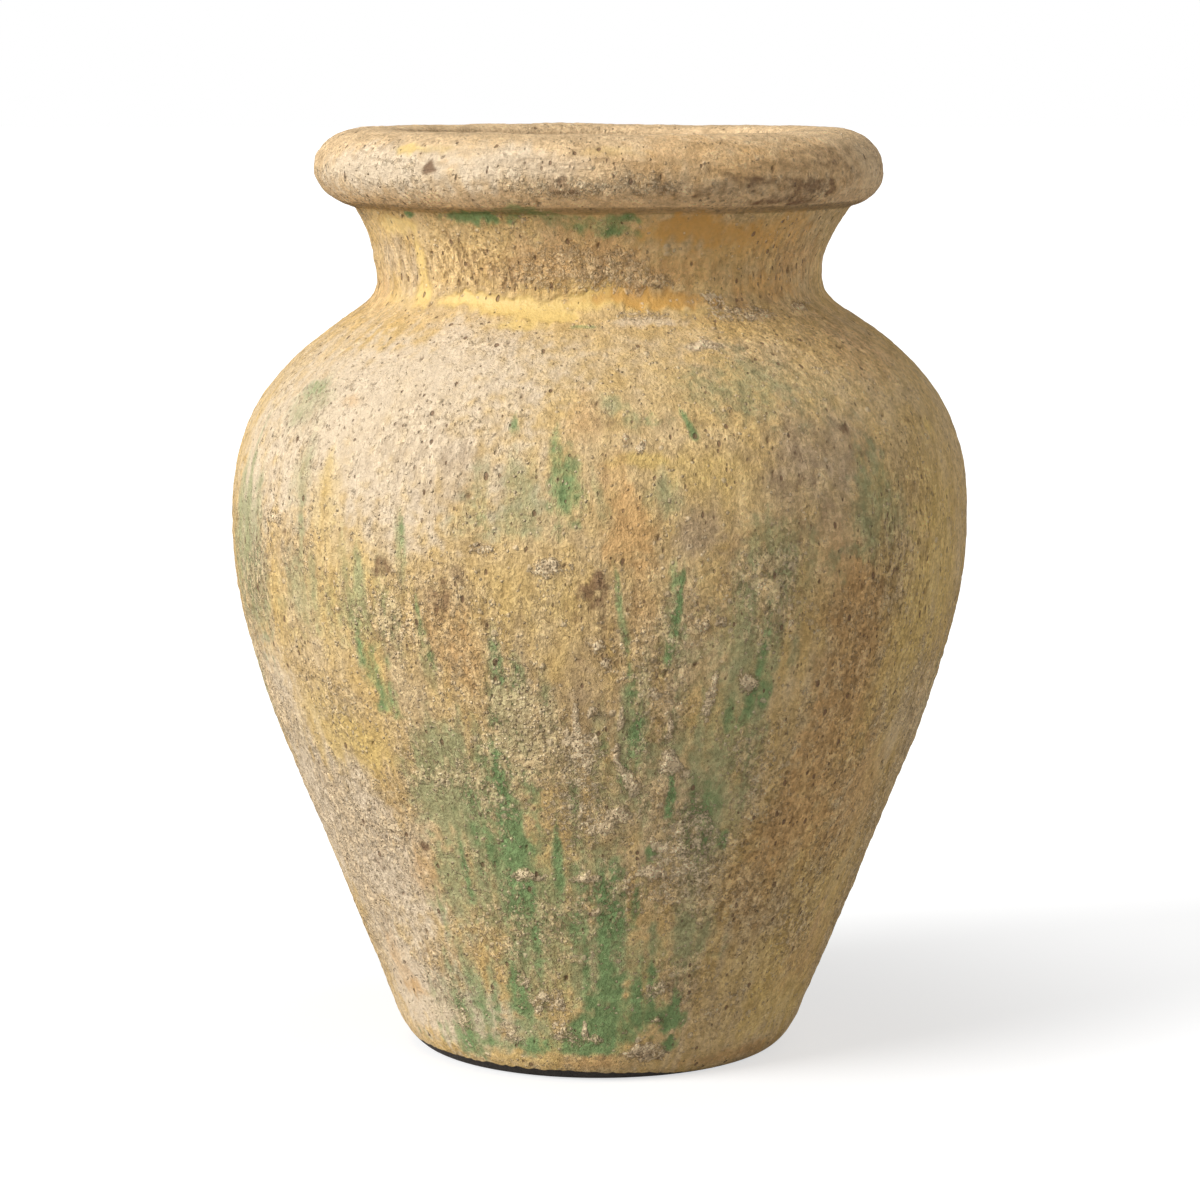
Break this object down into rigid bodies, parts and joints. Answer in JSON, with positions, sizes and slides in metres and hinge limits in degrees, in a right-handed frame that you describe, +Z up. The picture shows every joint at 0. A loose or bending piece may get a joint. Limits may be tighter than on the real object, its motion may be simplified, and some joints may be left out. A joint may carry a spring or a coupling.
{
  "type": "terracotta jar",
  "caption": "Wide-mouthed terracotta jar with a tapering body, full shoulder, short waisted neck and thick rolled rim, standing on a small flat foot.",
  "frame": {"origin": "centre of the flat underside, on the surface that the jar stands on", "axes": "+Z up along the axis that the jar was turned about; X and Y are any two horizontal directions, and -Y faces the picture's camera"},
  "size_m": [0.3032, 0.3032, 0.38],
  "materials": {
    "stained_foot": "coarse fired clay, stained dark and green near the ground",
    "mossy_glaze": "worn sandy glaze with green runs and dark pits",
    "streaked_glaze": "worn sandy glaze with green runs",
    "sandy_shoulder": "pale sandy glaze with pinholes",
    "ochre_neck": "yellow glaze under a sandy crust",
    "sandy_rim": "dry sandy fired clay",
    "slip": "fired slip"
  },
  "bodies": {
    "root": {"base_dish": "stained_foot", "base_slip_bed": "slip", "lower_course": "mossy_glaze", "lower_slip_bed": "slip", "belly_course": "streaked_glaze", "belly_slip_bed": "slip", "shoulder_course": "sandy_shoulder", "neck_slip_bed": "slip", "neck_collar": "ochre_neck", "rim_slip_bed": "slip", "rim_roll": "sandy_rim"}
  },
  "joints": []
}
